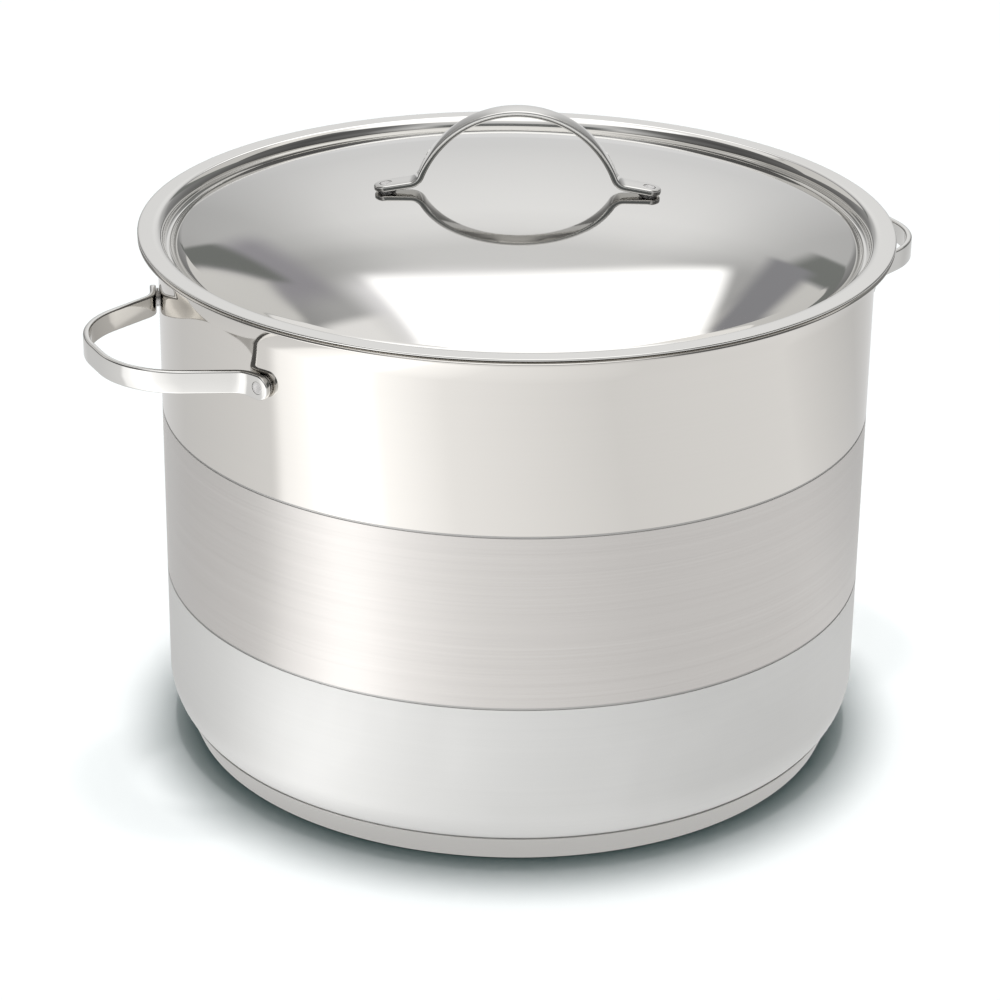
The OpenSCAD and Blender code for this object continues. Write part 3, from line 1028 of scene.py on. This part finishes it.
def ease(tree, value, start, end):
    """Smooth step of a value from 0 at start to 1 at end"""
    low, high = sorted((start, end))
    inputs = {"Value": value, "From Min": low, "From Max": high}
    step = add_node(tree, "ShaderNodeMapRange", inputs, interpolation_type="SMOOTHSTEP").outputs["Result"]
    return step if start < end else maths(tree, "SUBTRACT", 1.0, step)


def panel_mask(tree, left, right, rise, sides, ends, soft):
    """Mask of a soft-edged panel, whose sides and ends are limits of the given bearings"""
    across = maths(tree, "MULTIPLY",
                   ease(tree, left, sides[0] - soft[0], sides[0] + soft[0]),
                   ease(tree, right, sides[1] + soft[0], sides[1] - soft[0]))
    upright = maths(tree, "MULTIPLY",
                    ease(tree, rise, ends[0] - soft[1], ends[0] + soft[1]),
                    ease(tree, rise, ends[1] + soft[1], ends[1] - soft[1]))
    return maths(tree, "MULTIPLY", across, upright)


def blend_colour(tree, base, mask, tint):
    node = add_node(tree, "ShaderNodeMix", data_type="RGBA", clamp_result=False)
    feed(node, {0: mask, 6: base, 7: (*tint, 1)})
    return node.outputs[2]


def bearings(tree, source, heading):
    """Azimuth from straight behind the pot and elevation, in degrees, of a direction"""
    turned = add_node(tree, "ShaderNodeMapping", {"Vector": source, "Rotation": (0, 0, heading)})
    split = add_node(tree, "ShaderNodeSeparateXYZ", {0: turned.outputs[0]}).outputs
    azimuth = maths(tree, "ARCTAN2", split["X"], split["Y"])
    elevation = maths(tree, "ARCSINE", split["Z"])
    return [maths(tree, "MULTIPLY", math.degrees(1), turn) for turn in (azimuth, elevation)]


def level_ramp(tree, value, stops):
    """Level that follows a value through (value, level) stops"""
    low, high = stops[0][0], stops[-1][0]
    top = max(level for _, level in stops)
    share = add_node(tree, "ShaderNodeMapRange", {"Value": value, "From Min": low, "From Max": high})
    ramp = add_node(tree, "ShaderNodeValToRGB", {0: share.outputs["Result"]})
    places = ramp.color_ramp.elements
    while len(places) < len(stops):
        places.new(0.5)
    for index, (place, level) in enumerate(stops):
        places[index].position = (place - low) / (high - low)
        places[index].color = (level / top, level / top, level / top, 1)
    return maths(tree, "MULTIPLY", ramp.outputs["Color"], top)


def mirrored_ray(tree):
    """1 for what the camera sees in the metal, 0 for light on its way to the floor"""
    path = add_node(tree, "ShaderNodeLightPath").outputs
    direct = maths(tree, "LESS_THAN", path["Diffuse Depth"], 0.5)
    return maths(tree, "MULTIPLY", path["Is Glossy Ray"], direct)


def panel_bearings(tree, azimuth, elevation):
    """Bearings by name: plain ones, and skewed ones for edges that lean, bend or bow"""

    def past(bearing, start):
        return maths(tree, "SUBTRACT", bearing, start)

    def skewed(bearing, shift, amount):
        return maths(tree, "MULTIPLY_ADD", shift, amount, bearing)

    off_point = maths(tree, "ABSOLUTE", past(elevation, POINT_RISE))
    above = past(elevation, SLANT_FOOT)
    bow = maths(tree, "POWER", past(azimuth, BOW_MIDDLE), 2.0)
    return {
        "azimuth": azimuth,
        "elevation": elevation,
        "off_middle": maths(tree, "ABSOLUTE", past(azimuth, BACKDROP_MIDDLE)),
        "pointed": skewed(azimuth, off_point, POINT_LEAN),
        "slanted": skewed(azimuth, above, SLANT_LEAN),
        "wide": skewed(azimuth, above, WIDE_LEAN),
        "steep": skewed(elevation, past(azimuth, STEEP_FOOT), STEEP_RISE),
        "bowed": skewed(elevation, bow, BOW_RISE),
    }


def studio_world(look):
    """White to the camera, soft panels to the metal and an even light to the floor"""
    world = bpy.data.worlds.new("studio")
    world.use_nodes = True
    tree = world.node_tree
    tree.nodes.clear()
    source = add_node(tree, "ShaderNodeTexCoord").outputs["Generated"]
    by = panel_bearings(tree, *bearings(tree, source, look.heading))
    backdrop = maths(tree, "MULTIPLY", level_ramp(tree, by["elevation"], BACKDROP_RISE),
                     level_ramp(tree, by["off_middle"], BACKDROP_SPREAD))
    grey = {"Red": backdrop, "Green": backdrop, "Blue": backdrop}
    shown = add_node(tree, "ShaderNodeCombineColor", grey).outputs[0]
    for left, right, rise, sides, ends, soft, tint in PANELS:
        mask = panel_mask(tree, by[left], by[right], by[rise], sides, ends, soft)
        shown = blend_colour(tree, shown, mask, tint)
    lights = (
        {"Color": shown},
        {"Color": (*look.even_tint, 1), "Strength": look.even_light},
        {"Color": (1, 1, 1, 1)},
    )
    metal, even, white = (add_node(tree, "ShaderNodeBackground", light).outputs[0] for light in lights)
    lit = add_node(tree, "ShaderNodeMixShader", {0: mirrored_ray(tree), 1: even, 2: metal}).outputs[0]
    seen = add_node(tree, "ShaderNodeLightPath").outputs["Is Camera Ray"]
    surface = add_node(tree, "ShaderNodeMixShader", {0: seen, 1: lit, 2: white}).outputs[0]
    add_node(tree, "ShaderNodeOutputWorld", {"Surface": surface})
    return world


def white_floor(look):
    """White floor that keeps the shadow, and shows the metal a painted glow in place of its lit side"""
    material = bpy.data.materials.new("white_floor")
    material.use_nodes = True
    # Its glow is only seen in the metal, so it is not sampled as a lamp
    material.cycles.emission_sampling = "NONE"
    tree = material.node_tree
    shader = tree.nodes["Principled BSDF"]
    feed(shader, {"Base Color": (0.97, 0.97, 0.97, 1), "Roughness": 0.9, "Specular IOR Level": 0.0})
    place = add_node(tree, "ShaderNodeTexCoord").outputs["Object"]
    azimuth, _ = bearings(tree, place, look.heading)
    front = maths(tree, "SUBTRACT", 180.0, maths(tree, "ABSOLUTE", azimuth))
    side = maths(tree, "MULTIPLY", front, maths(tree, "SIGN", azimuth))
    reach = vectors(tree, "LENGTH", place)
    swept_out = maths(tree, "SUBTRACT", maths(tree, "MINIMUM", reach, SWEEP_END), SWEEP_MIDDLE)
    swept = maths(tree, "MULTIPLY_ADD", swept_out, SWEEP_PER_METRE, side)
    past_near = maths(tree, "SUBTRACT", level_ramp(tree, swept, FLOOR_GLOW_ROUND), FLOOR_NEAR_GLOW)
    level = maths(tree, "MULTIPLY_ADD", ease(tree, reach, *NEAR_FADE), past_near, FLOOR_NEAR_GLOW)
    # Painted light: the floor glows for the metal alone, though it is no lamp
    glow = add_node(tree, "ShaderNodeEmission", {"Strength": level}).outputs[0]
    shown = {0: mirrored_ray(tree), 1: shader.outputs[0], 2: glow}
    surface = add_node(tree, "ShaderNodeMixShader", shown).outputs[0]
    feed(tree.nodes["Material Output"], {"Surface": surface})
    return material


def overhead_lamp(name, strength, spread, look):
    """Lamp above the pot that lights the floor and isn't mirrored in the metal"""
    data = bpy.data.lights.new(name, "SUN")
    data.energy = strength
    data.angle = spread
    lamp = new_object(name, data)
    lean = Matrix.Rotation(-look.heading, 4, "Z") @ Matrix.Rotation(-look.lamp_tilt, 4, "X")
    lamp.matrix_world = lean @ Matrix.Translation((0, 0, LAMP_HEIGHT))
    lamp.visible_glossy = False
    return lamp


class STOCKPOT_OT_stage(bpy.types.Operator):
    """Set up the floor, the studio light and the camera"""

    bl_idname = "stockpot.stage"
    bl_label = "Stage"

    def execute(self, context):
        look = context.scene.stock_pot.stage
        context.scene.view_settings.view_transform = "Standard"
        context.scene.world = studio_world(look)
        half = look.floor
        mesh = bpy.data.meshes.new("floor")
        corners = [(-half, -half, 0), (half, -half, 0), (half, half, 0), (-half, half, 0)]
        mesh.from_pydata(corners, [], [(0, 1, 2, 3)])
        floor = new_piece("floor", mesh, [white_floor(look)])
        lamp = overhead_lamp("overhead_lamp", look.lamp, look.lamp_angle, look)
        soft = overhead_lamp("soft_overhead_lamp", look.soft_lamp, look.soft_angle, look)
        data = bpy.data.cameras.new("camera")
        data.sensor_width = SENSOR_WIDTH
        data.sensor_fit = "HORIZONTAL"
        data.lens = look.focal
        data.clip_start, data.clip_end = CLIP_START, CLIP_END
        camera = new_object("camera", data)
        spot = Vector((
            -look.distance * math.sin(look.heading), -look.distance * math.cos(look.heading), look.height
        ))
        turn = Matrix.Rotation(-(look.heading + look.aim), 4, "Z")
        turn = turn @ Matrix.Rotation(math.pi / 2 - look.pitch, 4, "X")
        turn = turn @ Matrix.Rotation(look.roll, 4, "Z")
        camera.matrix_world = Matrix.Translation(spot) @ turn
        context.scene.camera = camera
        return {"FINISHED"}


class STOCKPOT_PT_sidebar(bpy.types.Panel):
    """Lists the pieces of the stock pot"""

    bl_idname = "STOCKPOT_PT_sidebar"
    bl_label = "Stock Pot"
    bl_space_type = "VIEW_3D"
    bl_region_type = "UI"
    bl_category = "Stock Pot"

    def draw(self, context):
        settings = context.scene.stock_pot
        for operator in OPERATORS:
            self.layout.operator(operator.bl_idname)
        for part in StockPotSettings.__annotations__:
            group = getattr(settings, part)
            column = self.layout.column()
            for key in group.__annotations__:
                column.prop(group, key)


GROUPS = (PotSizes, HandleSizes, LidSizes, RivetSizes, Finishes, StageLook, StockPotSettings)
OPERATORS = (
    STOCKPOT_OT_pot_body, STOCKPOT_OT_base, STOCKPOT_OT_side_handles, STOCKPOT_OT_lid,
    STOCKPOT_OT_lid_handle, STOCKPOT_OT_rivets, STOCKPOT_OT_stage,
)


def register():
    for item in GROUPS + OPERATORS + (STOCKPOT_PT_sidebar,):
        bpy.utils.register_class(item)
    bpy.types.Scene.stock_pot = bpy.props.PointerProperty(type=StockPotSettings)


def unregister():
    del bpy.types.Scene.stock_pot
    for item in reversed(GROUPS + OPERATORS + (STOCKPOT_PT_sidebar,)):
        bpy.utils.unregister_class(item)


def main():
    register()
    for operator in OPERATORS:
        group, name = operator.bl_idname.split(".")
        getattr(getattr(bpy.ops, group), name)()


if __name__ == "__main__":
    main()
